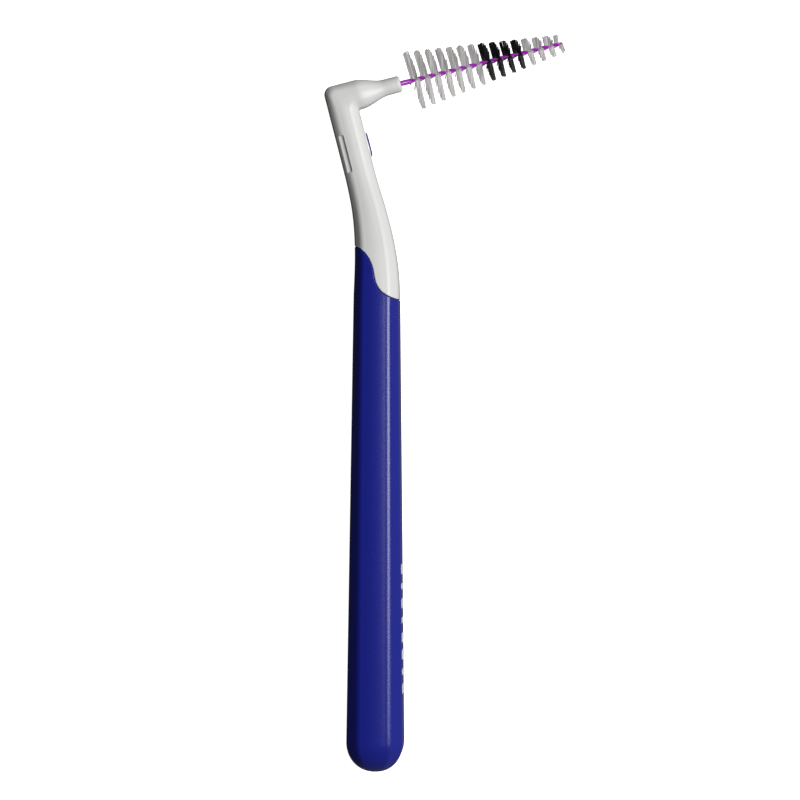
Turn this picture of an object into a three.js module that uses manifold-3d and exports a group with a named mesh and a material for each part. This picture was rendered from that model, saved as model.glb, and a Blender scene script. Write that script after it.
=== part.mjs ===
// An angled interdental brush: a white neck with a right-angled head, a blue grip moulded over the neck's
// spine, an oval size badge, and a folded, twisted, coated wire that holds rows of filaments.
//
// Millimetres. The brush lies on its side: +Y runs from the grip's end to the head, +X is the side that the
// brush points to, and +Z is up. Z = 0 is the middle plane until the last lines move the origin to the
// bottom of the whole brush. Along the handle, s is the distance from the grip's end on the middle line.
// Along the wire, h is the distance from the elbow, where the wire's axis crosses that line.

import * as THREE from 'three';
import { mergeVertices } from 'three/addons/utils/BufferGeometryUtils.js';
import Module from 'manifold-3d';

const wasm = await Module();
wasm.setup();

// ---------------------------------------------------------------- driving dimensions

const DEGREE = Math.PI / 180;
const SIDES = 24; // points round the handle's section, three to a corner

// The handle's middle line: straight, then a long bend, then straight to the elbow.
const BEND_START = 72.6;
const BEND_RADIUS = 54;
const BEND_ANGLE = 14.6 * DEGREE;
const UPPER_NECK = 15.08;
const BEND_END = BEND_START + BEND_RADIUS * BEND_ANGLE;
const ELBOW_S = BEND_END + UPPER_NECK;

// The handle's section: a rounded octagon. Each pair is [at the grip's end, at the top of the grip].
const GRIP_END_ROUND = 4.7;
const GRIP_TOP = 70;
const GRIP_THICKNESS = [8.6, 6.8];
const GRIP_SIDE_FACE = [4.8, 4.3];
const GRIP_DEPTH = 9.5;
const GRIP_FRONT_FACE = 5.4;
const NECK_THICKNESS = 4.5;
const NECK_SIDE_FACE = 2.4;
const NECK_DEPTH = 4.7;
const NECK_FRONT_FACE = 2.5;
const NECK_START = 70; // where the thickness starts to fall, and where it ends
const NECK_END = 90.5;
const DEPTH_START = 66;
const DEPTH_END = 92;
const SECTION_CORNER = 0.5; // set-back of the rounding of the section's corners

// The head, which leaves the neck at a right angle and narrows to a round nozzle.
const HEAD_THICKNESS = 4.36;
const INNER_FILLET = 0.3;
const OUTER_CORNER = 1.3;
const TAPER_START = 2.7;
const NOZZLE_START = 6.95;
const NOZZLE_RADIUS = 1.25;
const NOZZLE_ROUND = 0.4;
const NOZZLE_END = 9.28;

// The spine of the neck inside the grip, with the windows that lock the grip to it.
const SPINE_START = 8;
const SPINE_JOIN = 79; // where the spine ends inside the neck
const SPINE_THICKNESS = [4.6, 3.6];
const SPINE_DEPTH = 5.6;
const WINDOWS = [20, 37, 54];
const WINDOW_LENGTH = 8;
const WINDOW_WIDTH = 2;

// The parting line between neck and grip, as two Bezier curves of four [x, y] points each.
const PARTING = [
  [[-4.4, 79], [-1.7, 78.5], [-0.55, 76.7], [-0.2, 74.3]],
  [[-0.2, 74.3], [0.1, 72.2], [1.1, 70.9], [4.6, 70.5]],
];

// A shallow rebate on each side of the neck, along its back edge.
const REBATE_CENTRE = 8.35; // down the neck from the elbow
const REBATE_LENGTH = 5.7;
const REBATE_WALL = 0.87; // from the neck's middle line
const REBATE_DEPTH = 0.5;
const REBATE_CORNER = 0.5;

// The oval badge let into the neck's front face.
const BADGE_CENTRE = 7.65; // down the neck from the elbow
const BADGE_LENGTH = 4;
const BADGE_WIDTH = 1.8;
const BADGE_SUNK = 0.6;
const BADGE_PROUD = 0.33;

// The wire: one length folded at the tip, its two strands twisted right-handed.
const STEEL_RADIUS = 0.1;
const COATING_BORE = 0.118;
const COATING_RADIUS = 0.175;
const STRAND_SIDES = 6;
const STRAND_OFFSET = 0.205; // from the wire's axis to a strand's middle
const ANCHOR_H = 1.6; // the strands' ends, spread apart inside the head
const ANCHOR_LENGTH = 1.8;
const ANCHOR_OFFSET = 0.6;
const BARE_END = 0.4; // steel beyond the coating, at each end
const EYE_OFFSET = 0.24; // the strands bow apart between the nozzle and the first twist
const TWIST_START = 10.58;
const HALF_TWIST = 1.58; // length of half a turn, which holds one row of filaments
const STEPS = 6; // stations in half a turn
const FOLD_OFFSET = 0.3;
const DROOP = Math.tan(0.85 * DEGREE); // the brush leans down from the nozzle's axis

// The filaments: one row in each half turn, passing between the strands.
const ROWS = 15;
const ROW_RADIUS = [4.6, 1.56]; // first row, last row
const ROW_THICKNESS = 0.03; // between the strands
const FAN_THICKNESS = 0.14; // outside them
const ROW_LEAD = 4; // stations of a row before its middle, where it crosses the brush's middle plane
const ROW_COLUMNS = [0, 0.13, 0.45]; // distances from the axis where the sheet's faces are divided
const BLACK_ROWS = [8, 11];

const PART_GAP = 0.05; // clearance between touching pieces
const PARTING_GAP = 0.06;
const ROW_GAP = 0.03;

// ---------------------------------------------------------------- closed meshes

const { lerp, smoothstep } = THREE.MathUtils;

// Joins rings of points, each a list of Vector3 of one length, into one closed body facing out. The ends
// are capped, or joined to each other when looped is true. Sides from flippedFrom on are divided along their
// other diagonal, so that the two faces of a twisted sheet stay parallel.
function loft(rings, looped = false, flippedFrom = Infinity) {
  const sides = rings[0].length;
  const points = rings.flat();
  const triangles = [];
  const bands = looped ? rings.length : rings.length - 1;
  for (let band = 0; band < bands; band += 1) {
    const lower = band * sides;
    const upper = ((band + 1) % rings.length) * sides;
    for (let i = 0; i < sides; i += 1) {
      const next = (i + 1) % sides;
      if (i < flippedFrom) {
        triangles.push(lower + i, lower + next, upper + next, lower + i, upper + next, upper + i);
      } else {
        triangles.push(lower + i, lower + next, upper + i, lower + next, upper + next, upper + i);
      }
    }
  }
  if (!looped) {
    addCap(points, triangles, 0, sides, false);
    addCap(points, triangles, (rings.length - 1) * sides, sides, true);
  }
  const geometry = new THREE.BufferGeometry().setFromPoints(points);
  if (volume(points, triangles) < 0) {
    triangles.reverse();
  }
  geometry.setIndex(triangles);
  return geometry;
}

function addCap(points, triangles, first, sides, last) {
  const middle = new THREE.Vector3();
  for (let i = 0; i < sides; i += 1) {
    middle.addScaledVector(points[first + i], 1 / sides);
  }
  const centre = points.push(middle) - 1;
  for (let i = 0; i < sides; i += 1) {
    const a = first + i;
    const b = first + ((i + 1) % sides);
    triangles.push(centre, last ? a : b, last ? b : a);
  }
}

function volume(points, triangles) {
  let sum = 0;
  const cross = new THREE.Vector3();
  for (let i = 0; i < triangles.length; i += 3) {
    const [a, b, c] = [0, 1, 2].map((k) => points[triangles[i + k]]);
    sum += a.dot(cross.crossVectors(b, c)) / 6;
  }
  return sum;
}

function toSolid(geometry) {
  const bare = geometry.clone();
  bare.deleteAttribute('normal');
  bare.deleteAttribute('uv');
  const merged = mergeVertices(bare, 1e-5);
  return new wasm.Manifold(new wasm.Mesh({
    numProp: 3,
    vertProperties: new Float32Array(merged.attributes.position.array),
    triVerts: new Uint32Array(merged.index.array),
  }));
}

function toGeometry(solid) {
  const mesh = solid.getMesh();
  const geometry = new THREE.BufferGeometry();
  geometry.setAttribute('position', new THREE.BufferAttribute(new Float32Array(mesh.vertProperties), 3));
  geometry.setIndex(new THREE.BufferAttribute(new Uint32Array(mesh.triVerts), 1));
  return geometry;
}

// ---------------------------------------------------------------- sections

// A rounded octagon of SIDES points [u, z]: u is across the thickness, z across the depth.
function octagon(halfThickness, halfSide, halfDepth, halfFront, corner = SECTION_CORNER) {
  const corners = [
    [halfThickness, -halfFront], [halfThickness, halfFront],
    [halfSide, halfDepth], [-halfSide, halfDepth],
    [-halfThickness, halfFront], [-halfThickness, -halfFront],
    [-halfSide, -halfDepth], [halfSide, -halfDepth],
  ].map(([u, z]) => new THREE.Vector2(u, z));
  const section = [];
  corners.forEach((point, i) => {
    const before = corners[(i + corners.length - 1) % corners.length];
    const after = corners[(i + 1) % corners.length];
    const entry = point.clone().lerp(before, Math.min(corner / point.distanceTo(before), 0.4));
    const exit = point.clone().lerp(after, Math.min(corner / point.distanceTo(after), 0.4));
    const crown = entry.clone().add(exit).multiplyScalar(0.25).addScaledVector(point, 0.5);
    section.push(entry, crown, exit);
  });
  return section;
}

// A circle whose points match the octagon's one for one.
function circle(radius) {
  return Array.from({ length: SIDES }, (_, i) => {
    const angle = ((i - 1) * 360 / SIDES - 22.5) * DEGREE;
    return new THREE.Vector2(radius * Math.cos(angle), radius * Math.sin(angle));
  });
}

function blend(from, to, share) {
  return from.map((point, i) => point.clone().lerp(to[i], share));
}

function ring(centre, across, section, scale = 1) {
  return section.map(({ x: u, y: z }) => centre.clone()
    .addScaledVector(across, u * scale)
    .add(new THREE.Vector3(0, 0, z * scale)));
}

// ---------------------------------------------------------------- the handle's outer shape

// The middle line at s, with the directions towards the head and towards the front.
function handleFrame(s) {
  const turned = THREE.MathUtils.clamp((s - BEND_START) / BEND_RADIUS, 0, BEND_ANGLE);
  const beyond = Math.max(s - BEND_END, 0);
  const [sin, cos] = [Math.sin(turned), Math.cos(turned)];
  const x = -BEND_RADIUS * (1 - cos) - beyond * sin;
  const y = Math.min(s, BEND_START) + BEND_RADIUS * sin + beyond * cos;
  return {
    point: new THREE.Vector3(x, y, 0),
    along: new THREE.Vector3(-sin, cos, 0),
    front: new THREE.Vector3(cos, sin, 0),
  };
}

const elbow = handleFrame(ELBOW_S);

function handleSection(s) {
  const up = Math.min(s / GRIP_TOP, 1);
  const slim = smoothstep(s, NECK_START, NECK_END);
  const shallow = smoothstep(s, DEPTH_START, DEPTH_END);
  return octagon(
    lerp(lerp(...GRIP_THICKNESS, up), NECK_THICKNESS, slim) / 2,
    lerp(lerp(...GRIP_SIDE_FACE, up), NECK_SIDE_FACE, slim) / 2,
    lerp(GRIP_DEPTH, NECK_DEPTH, shallow) / 2,
    lerp(GRIP_FRONT_FACE, NECK_FRONT_FACE, shallow) / 2,
  );
}

// The grip's end, rounded as a quarter ellipse in every direction.
function endRings() {
  return [8, 24, 40, 56, 73].map((angle) => {
    const { point, front } = handleFrame(GRIP_END_ROUND * (1 - Math.cos(angle * DEGREE)));
    return ring(point, front, handleSection(point.y), Math.sin(angle * DEGREE));
  });
}

function neckRings() {
  const stations = [GRIP_END_ROUND, 18, 34, 50, DEPTH_START, NECK_START];
  for (let s = BEND_START; s < BEND_END; s += 2.75) {
    stations.push(s);
  }
  stations.push(BEND_END, 89.5, DEPTH_END, ELBOW_S - HEAD_THICKNESS / 2 - INNER_FILLET);
  return stations.map((s) => {
    const { point, front } = handleFrame(s);
    return ring(point, front, handleSection(s));
  });
}

// The elbow turns about the middle of its inner fillet. Its outer side is a square corner, rounded.
function elbowRings() {
  const pivot = elbow.point.clone()
    .addScaledVector(elbow.front, NECK_THICKNESS / 2 + INNER_FILLET)
    .addScaledVector(elbow.along, -HEAD_THICKNESS / 2 - INNER_FILLET);
  const back = NECK_THICKNESS + INNER_FILLET;
  const top = HEAD_THICKNESS + INNER_FILLET;
  const outline = [[back, (top - OUTER_CORNER) / 2]];
  for (let angle = 0; angle <= 90; angle += 22.5) {
    outline.push([
      back - OUTER_CORNER * (1 - Math.cos(angle * DEGREE)),
      top - OUTER_CORNER * (1 - Math.sin(angle * DEGREE)),
    ]);
  }
  outline.push([(back - OUTER_CORNER) / 2, top]);
  return outline.map(([backwards, upwards]) => {
    const reach = Math.hypot(backwards, upwards);
    const outward = new THREE.Vector3()
      .addScaledVector(elbow.front, -backwards / reach)
      .addScaledVector(elbow.along, upwards / reach);
    const halfThickness = (reach - INNER_FILLET) / 2;
    const centre = pivot.clone().addScaledVector(outward, INNER_FILLET + halfThickness);
    return ring(centre, outward.negate(), headSection(halfThickness * 2));
  });
}

function headSection(thickness) {
  const chamfer = (NECK_THICKNESS - NECK_SIDE_FACE) / 2;
  return octagon(thickness / 2, thickness / 2 - chamfer, NECK_DEPTH / 2, NECK_FRONT_FACE / 2);
}

function nozzleRings() {
  const down = elbow.along.clone().negate();
  const at = (h, section) => ring(elbow.point.clone().addScaledVector(elbow.front, h), down, section);
  const rings = [at(NECK_THICKNESS / 2 + INNER_FILLET, headSection(HEAD_THICKNESS))];
  const taperSteps = 6;
  for (let i = 0; i <= taperSteps; i += 1) {
    const h = lerp(TAPER_START, NOZZLE_START, i / taperSteps);
    const slim = smoothstep(h, TAPER_START, NOZZLE_START);
    rings.push(at(h, blend(headSection(HEAD_THICKNESS), circle(NOZZLE_RADIUS), slim)));
  }
  rings.push(at(NOZZLE_END - NOZZLE_ROUND, circle(NOZZLE_RADIUS)));
  rings.push(at(NOZZLE_END, circle(NOZZLE_RADIUS - NOZZLE_ROUND)));
  return rings;
}

const handle = toSolid(loft([...endRings(), ...neckRings(), ...elbowRings(), ...nozzleRings()]));

// ---------------------------------------------------------------- neck, spine and grip

// Everything on the grip's side of the parting line, which stands square to the side faces.
function gripSide(gap) {
  const outline = new THREE.Shape();
  const [upper, lower] = PARTING.map((curve) => curve.map(([x, y]) => [x - gap, y - gap]));
  outline.moveTo(-20, -10);
  outline.lineTo(-20, upper[0][1]);
  outline.lineTo(...upper[0]);
  outline.bezierCurveTo(...upper[1], ...upper[2], ...upper[3]);
  outline.bezierCurveTo(...lower[1], ...lower[2], ...lower[3]);
  outline.lineTo(20, lower[3][1]);
  outline.lineTo(20, -10);
  const geometry = new THREE.ExtrudeGeometry(outline, { depth: 20, bevelEnabled: false, curveSegments: 8 });
  geometry.translate(0, 0, -10);
  return toSolid(geometry);
}

function spine(gap) {
  const section = (s, shrink) => {
    const thickness = lerp(...SPINE_THICKNESS, Math.min(s / GRIP_TOP, 1)) - shrink + 2 * gap;
    const depth = SPINE_DEPTH - shrink + 2 * gap;
    return octagon(thickness / 2, thickness / 2 - 0.8, depth / 2, depth / 2 - 0.8);
  };
  const rings = [[SPINE_START - gap, 1.6], [SPINE_START + 0.8, 0], [GRIP_TOP, 0], [SPINE_JOIN, 0]]
    .map(([s, shrink]) => {
      const { point, front } = handleFrame(s);
      return ring(point, front, section(s, shrink));
    });
  const bar = toSolid(loft(rings));
  return WINDOWS.reduce((solid, s) => solid.subtract(window(s, gap)), bar);
}

// A slot with round ends, through the spine from side to side.
function window(s, gap) {
  const radius = WINDOW_WIDTH / 2 - gap;
  const straight = WINDOW_LENGTH / 2 - WINDOW_WIDTH / 2;
  const slot = new THREE.Shape();
  slot.absarc(0, straight, radius, 0, Math.PI);
  slot.absarc(0, -straight, radius, Math.PI, 2 * Math.PI);
  const geometry = new THREE.ExtrudeGeometry(slot, { depth: 12, bevelEnabled: false, curveSegments: 5 });
  geometry.translate(0, s, -6);
  return toSolid(geometry);
}

// A cutter for the rebate on the side that faces +Z or -Z.
function rebate(side) {
  const { point, along } = handleFrame(ELBOW_S - REBATE_CENTRE);
  const [half, round] = [REBATE_LENGTH / 2, REBATE_CORNER];
  const outline = new THREE.Shape();
  outline.moveTo(-6, -half);
  outline.lineTo(-REBATE_WALL - round, -half);
  outline.absarc(-REBATE_WALL - round, -half + round, round, -Math.PI / 2, 0);
  outline.absarc(-REBATE_WALL - round, half - round, round, 0, Math.PI / 2);
  outline.lineTo(-6, half);
  const geometry = new THREE.ExtrudeGeometry(outline, { depth: 4, bevelEnabled: false, curveSegments: 3 });
  geometry.translate(0, 0, side > 0 ? NECK_DEPTH / 2 - REBATE_DEPTH : REBATE_DEPTH - NECK_DEPTH / 2 - 4);
  geometry.rotateZ(Math.atan2(-along.x, along.y));
  geometry.translate(point.x, point.y, 0);
  return toSolid(geometry);
}

// The badge's outline grown by gap, from one height above the neck's front face to another, in the
// badge's own frame: +X out of the face, +Y up the neck. Each layer is [height, share of the size].
function oval(gap, layers) {
  const points = 20;
  return loft(layers.map(([height, share]) => Array.from({ length: points }, (_, i) => {
    const angle = 2 * Math.PI * i / points;
    const y = (BADGE_LENGTH / 2 + gap) * share * Math.cos(angle);
    const z = (BADGE_WIDTH / 2 + gap) * share * Math.sin(angle);
    return new THREE.Vector3(height, y, z);
  })));
}

function badgeSeat() {
  const { point, front } = handleFrame(ELBOW_S - BADGE_CENTRE);
  return point.addScaledVector(front, NECK_THICKNESS / 2);
}

// The slot that the strands fill inside the head, in the wire's own frame.
function wireBore() {
  const reach = COATING_RADIUS + PART_GAP;
  const stations = [ANCHOR_H - 0.1, ...anchorStations(), NOZZLE_END + 0.2];
  return loft(stations.map((h) => Array.from({ length: 12 }, (_, i) => {
    const angle = (i + 0.5) * 30 * DEGREE;
    const middle = Math.sign(Math.cos(angle)) * anchorOffset(h);
    return new THREE.Vector3(h, middle + reach * Math.cos(angle), reach * Math.sin(angle));
  })));
}

// ---------------------------------------------------------------- wire
// The wire's own frame: +X along the wire to the tip, +Y up the neck, origin at the elbow.

const wirePlace = new THREE.Matrix4()
  .makeRotationZ(BEND_ANGLE)
  .setPosition(elbow.point);

function twist(h) {
  return Math.PI * Math.max(h - TWIST_START, 0) / HALF_TWIST;
}

// Lowers a point beyond the nozzle, in the wire's own frame.
function droop(point) {
  return point.setY(point.y - DROOP * Math.max(point.x - NOZZLE_END, 0));
}

function anchorOffset(h) {
  const closed = smoothstep(h, ANCHOR_H, ANCHOR_H + ANCHOR_LENGTH);
  return lerp(ANCHOR_OFFSET, STRAND_OFFSET, closed);
}

function anchorStations() {
  return [0, 0.25, 0.5, 0.75, 1].map((share) => ANCHOR_H + ANCHOR_LENGTH * share);
}

// The middle of one strand from its anchored end to the fold, as [h, offset from the wire's axis].
function strandLine() {
  const line = anchorStations().map((h) => [h, anchorOffset(h)]);
  const eyeSteps = 6;
  for (let i = 0; i < eyeSteps; i += 1) {
    const share = i / eyeSteps;
    const bow = (EYE_OFFSET - STRAND_OFFSET) * Math.sin(Math.PI * share) ** 2;
    line.push([lerp(NOZZLE_END, TWIST_START, share), STRAND_OFFSET + bow]);
  }
  const twistSteps = ROWS * STEPS - 2;
  for (let i = 0; i <= twistSteps; i += 1) {
    line.push([TWIST_START + i * HALF_TWIST / STEPS, i < twistSteps ? STRAND_OFFSET : FOLD_OFFSET]);
  }
  return line;
}

// Rings round the whole folded wire: out along one strand, round the fold and back along the other.
function wireRings(radius, trimmed = 0) {
  const out = strandLine();
  out[0] = [out[0][0] + trimmed, anchorOffset(out[0][0] + trimmed)];
  const [foldH] = out[out.length - 1];
  const stations = out.map(([h, offset]) => ({ h, y: offset, lean: 0, turn: twist(h) }));
  for (let angle = 30; angle < 180; angle += 30) {
    stations.push({
      h: foldH + FOLD_OFFSET * Math.sin(angle * DEGREE),
      y: FOLD_OFFSET * Math.cos(angle * DEGREE),
      lean: angle * DEGREE,
      turn: twist(foldH),
    });
  }
  out.reverse().forEach(([h, offset]) => stations.push({ h, y: -offset, lean: Math.PI, turn: twist(h) }));
  return stations.map(({ h, y, lean, turn }) => Array.from({ length: STRAND_SIDES }, (_, i) => {
    const angle = 2 * Math.PI * i / STRAND_SIDES;
    const outward = radius * Math.cos(angle);
    return new THREE.Vector3(
      h + outward * Math.sin(lean),
      y + outward * Math.cos(lean),
      radius * Math.sin(angle),
    ).applyAxisAngle(new THREE.Vector3(1, 0, 0), turn);
  }).map(droop));
}

function coating() {
  const outside = wireRings(COATING_RADIUS, BARE_END);
  const bore = wireRings(COATING_BORE, BARE_END).reverse();
  return loft([...outside, ...bore], true);
}

// ---------------------------------------------------------------- filament rows

function rowRadius(h) {
  const first = TWIST_START + HALF_TWIST / 2;
  return lerp(...ROW_RADIUS, (h - first) / (HALF_TWIST * (ROWS - 1)));
}

// One row: a sheet that winds with the strands for half a turn and passes between them, thinner there.
function filamentRow(row) {
  const step = HALF_TWIST / STEPS;
  const firstStation = Math.max(row * STEPS + STEPS / 2 - ROW_LEAD, 0);
  const lastStation = Math.min((row + 1) * STEPS + STEPS / 2 - ROW_LEAD, ROWS * STEPS - 2);
  const rings = [];
  for (let i = firstStation; i <= lastStation; i += 1) {
    const inset = i === firstStation ? ROW_GAP / 2 : i === lastStation ? -ROW_GAP / 2 : 0;
    const h = TWIST_START + i * step + inset;
    const reach = [...ROW_COLUMNS, rowRadius(h)];
    const across = [...reach.slice(1).reverse().map((z) => -z), ...reach];
    const half = (z) => (Math.abs(z) < ROW_COLUMNS[2] ? ROW_THICKNESS : FAN_THICKNESS) / 2;
    const upper = across.map((z) => new THREE.Vector3(h, half(z), z));
    const lower = across.map((z) => new THREE.Vector3(h, -half(z), z)).reverse();
    const turned = [...upper, ...lower].map((p) => p.applyAxisAngle(new THREE.Vector3(1, 0, 0), twist(h)));
    rings.push(turned.map(droop));
  }
  return loft(rings, false, rings[0].length / 2);
}

// ---------------------------------------------------------------- assembly

const materials = {
  neck: { color: 0xd8d8d6, roughness: 0.42, metalness: 0 },
  grip: { color: 0x151f70, roughness: 0.3, metalness: 0 },
  badge: { color: 0x2f3a96, roughness: 0.3, metalness: 0 },
  steel: { color: 0xb9bdc2, roughness: 0.3, metalness: 1 },
  coating: { color: 0x9a26ac, roughness: 0.35, metalness: 0 },
  white: { color: 0xe8e8e4, roughness: 0.5, metalness: 0 },
  black: { color: 0x141414, roughness: 0.45, metalness: 0 },
};

function piece(name, geometry, material) {
  geometry.computeVertexNormals();
  const mesh = new THREE.Mesh(geometry, new THREE.MeshStandardMaterial(materials[material]));
  mesh.name = name;
  return mesh;
}

function neckCore() {
  const bore = wireBore().applyMatrix4(wirePlace);
  const pocket = oval(PART_GAP, [[-BADGE_SUNK - PART_GAP, 1], [1, 1]]);
  const seat = badgeSeat();
  pocket.rotateZ(BEND_ANGLE);
  pocket.translate(seat.x, seat.y, seat.z);
  return handle.subtract(gripSide(0))
    .add(spine(0))
    .subtract(toSolid(bore))
    .subtract(toSolid(pocket))
    .subtract(rebate(1))
    .subtract(rebate(-1));
}

function gripOvermould() {
  return handle.intersect(gripSide(PARTING_GAP)).subtract(spine(PART_GAP));
}

const brush = new THREE.Group();
brush.add(piece('neck_core', toGeometry(neckCore()), 'neck'));
brush.add(piece('grip_overmould', toGeometry(gripOvermould()), 'grip'));

const badge = piece('size_badge', oval(0, [
  [-BADGE_SUNK, 1],
  [BADGE_PROUD * 0.4, 1],
  [BADGE_PROUD * 0.8, 0.88],
  [BADGE_PROUD, 0.6],
]), 'badge');
badge.position.copy(badgeSeat());
badge.rotation.z = BEND_ANGLE;
brush.add(badge);

const brushHead = new THREE.Group();
brushHead.position.copy(elbow.point);
brushHead.rotation.z = BEND_ANGLE;
brushHead.add(piece('wire_steel_core', loft(wireRings(STEEL_RADIUS)), 'steel'));
brushHead.add(piece('wire_coating', coating(), 'coating'));
for (let row = 0; row < ROWS; row += 1) {
  const number = row + 1;
  const black = number >= BLACK_ROWS[0] && number <= BLACK_ROWS[1];
  const name = `filament_row_${String(number).padStart(2, '0')}`;
  brushHead.add(piece(name, filamentRow(row), black ? 'black' : 'white'));
}
brush.add(brushHead);

// The origin goes to the bottom of the whole brush, in the middle of its length and width.
const bounds = new THREE.Box3().setFromObject(brush);
const centre = bounds.getCenter(new THREE.Vector3());
brush.position.set(-centre.x, -centre.y, -bounds.min.z);

export default brush;
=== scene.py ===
import math
import random

import bmesh
import bpy
import numpy as np
from mathutils import Matrix, Vector


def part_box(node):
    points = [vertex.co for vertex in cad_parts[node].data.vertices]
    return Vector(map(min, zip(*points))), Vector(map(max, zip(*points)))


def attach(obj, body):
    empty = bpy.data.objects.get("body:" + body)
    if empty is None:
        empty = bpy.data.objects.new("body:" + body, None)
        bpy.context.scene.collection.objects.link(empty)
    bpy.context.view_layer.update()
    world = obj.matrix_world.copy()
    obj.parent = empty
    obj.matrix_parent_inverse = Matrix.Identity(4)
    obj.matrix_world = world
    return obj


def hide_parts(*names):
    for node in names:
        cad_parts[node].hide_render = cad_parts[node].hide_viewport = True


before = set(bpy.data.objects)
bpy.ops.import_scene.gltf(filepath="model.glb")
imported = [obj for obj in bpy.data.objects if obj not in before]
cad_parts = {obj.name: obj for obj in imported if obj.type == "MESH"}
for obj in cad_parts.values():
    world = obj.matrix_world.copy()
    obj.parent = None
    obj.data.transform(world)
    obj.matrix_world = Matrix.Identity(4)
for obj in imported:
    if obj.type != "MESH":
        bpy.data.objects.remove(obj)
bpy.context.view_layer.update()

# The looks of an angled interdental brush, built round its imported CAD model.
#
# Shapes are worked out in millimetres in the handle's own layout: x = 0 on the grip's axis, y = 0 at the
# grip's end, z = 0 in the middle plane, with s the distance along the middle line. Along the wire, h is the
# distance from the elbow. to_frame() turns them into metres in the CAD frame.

MM = 0.001
SEED = 11

# ---------------------------------------------------------------- driving dimensions
# The sizes of the handle and the wire are the CAD model's, unless a comment gives the CAD's own. The crowns,
# the rounded edges, the badge's rim and the filaments are only here, and the gaps are this model's own.

BEND_START = 72.6
BEND_RADIUS = 54.0
BEND_ANGLE = math.radians(14.6)
UPPER_NECK = 15.08
BEND_END = BEND_START + BEND_RADIUS * BEND_ANGLE
ELBOW_S = BEND_END + UPPER_NECK

GRIP_END_ROUND = 4.7
GRIP_TOP = 70.0
GRIP_THICKNESS = (8.6, 6.8)  # at the grip's end and at GRIP_TOP
GRIP_SIDE_FACE = (4.8, 4.3)
GRIP_DEPTH = 9.5
GRIP_FRONT_FACE = 5.4
NECK_THICKNESS = 4.5
NECK_SIDE_FACE = 2.4
NECK_DEPTH = 4.7
NECK_FRONT_FACE = 2.5
NECK_START, NECK_END = 70.0, 90.5  # where the grip's thickness gives way to the neck's
DEPTH_START, DEPTH_END = 66.0, 92.0  # and its depth
SECTION_CORNER = 0.6  # set-back of the rounding of the section's corners; 0.5 in the CAD
GRIP_CROWN, NECK_CROWN = 0.14, 0.05  # how far the side faces bulge; they are flat in the CAD

HEAD_THICKNESS = 4.36
INNER_FILLET = 0.3
OUTER_CORNER = 1.3
UPPER_TAPER = (2.6, 6.8)  # where the head's upper side narrows to the nozzle
LOWER_TAPER = (2.8, 7.2)  # where its lower side does; both do from 2.7 to 6.95 in the CAD
TAPER_BLEND = 1.6  # from the nozzle's axis to where a side's own taper holds in full
NOZZLE_END = 9.28
NOZZLE_RADIUS = 1.25
NOZZLE_ROUND = 0.4

SPINE_START = 8.0
SPINE_THICKNESS = (4.6, 3.6)
SPINE_DEPTH = 5.6
SPINE_CHAMFER = 0.8
SPINE_LEVEL = 66.0  # the spine's rings lie level up to here, and then turn to follow the parting line

PARTING = (  # control points (x, y) of the two curves of the parting line
    ((-4.4, 79.0), (-1.7, 78.5), (-0.55, 76.7), (-0.2, 74.3)),
    ((-0.2, 74.3), (0.1, 72.2), (1.1, 70.9), (4.6, 70.5)),
)
PARTING_SEARCH = (64.0, 86.0)  # the whole line lies between these
PARTING_GAP = 0.03  # 0.06 in the CAD
GRIP_EDGE_ROUND, NECK_EDGE_ROUND = 0.16, 0.08  # of the edges at the parting line

REBATE_CENTRE = 8.35
REBATE_LENGTH = 5.7
REBATE_WALL = 0.87
REBATE_DEPTH = 0.5
REBATE_CORNER = 0.15  # 0.5 in the CAD
CUTTER_REACH, CUTTER_DEPTH = 4.0, 2.0  # how far the rebate's cutter stands outside the neck

BADGE_CENTRE = 7.65
BADGE_LENGTH, BADGE_WIDTH = 4.0, 1.8
BADGE_SUNK, BADGE_PROUD = 0.6, 0.33
BADGE_RIM, BADGE_RIM_PROUD = 0.12, 0.1
BADGE_SEAM = 0.01  # between the rim and the dome inside it
POCKET_GAP, POCKET_FLOOR_GAP = 0.02, 0.03  # round the badge and under it

STEEL_RADIUS = 0.1
COATING_BORE = 0.118
COATING_RADIUS = 0.195  # 0.175 in the CAD, where the strands have to stay clear of each other
BORE_GAP = 0.03  # round the coating in the head
STRAND_OFFSET = 0.205  # from the wire's axis to a strand's middle
ANCHOR_H, ANCHOR_LENGTH, ANCHOR_OFFSET = 1.6, 1.8, 0.6  # the strands' ends, spread apart inside the head
BARE_END = 0.4  # steel beyond the coating, at each end
EYE_OFFSET = 0.22  # the strands bow apart between the nozzle and the first twist; 0.24 in the CAD
TWIST_START = 10.58
HALF_TWIST = 1.58  # length of half a turn, which holds one row of filaments
FOLD_OFFSET = 0.3
FOLD_SPREAD = 0.25  # length over which the strands move apart to the fold
DROOP = math.tan(math.radians(0.85))  # the brush leans down from the nozzle's axis
ROWS = 15
FOLD_H = TWIST_START + (ROWS - 1 / 3) * HALF_TWIST  # inside the last row

ROW_RADIUS = (4.6, 1.56)  # in the first row and in the last
BLACK_ROWS = range(8, 12)
FILAMENT_RADIUS = 0.065
FILAMENT_STOPS = (0, 0.03, 0.07, 0.12, 0.2, 0.32, 0.48, 0.65, 0.82, 1)  # from the axis to the tip
ROOT_REACH = 0.35  # a filament leaves the wire's axis within this distance
LEAN_REACH = (0.1, 1.1)  # and takes up its own lean between these
CLUSTER = 2  # filaments that lean alike
TIP_SWEEP = (-0.05, 0.14)  # how much further along the tips are, in the first row and in the last
FILAMENT_SMOOTH_ANGLE = 60  # degrees
FOLD_MARGIN = 0.1  # no filament crosses the axis further than this beyond the fold

# What is random in a filament: its share of the full length, and how far its tip's place, its lean in radians
# and its offset from the wire's axis may move either way.
LENGTH_SPREAD = (0.95, 1.0)
TIP_SPREAD = 0.06
LEAN_SPREAD = 0.05
BESIDE_SPREAD = 0.06

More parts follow.
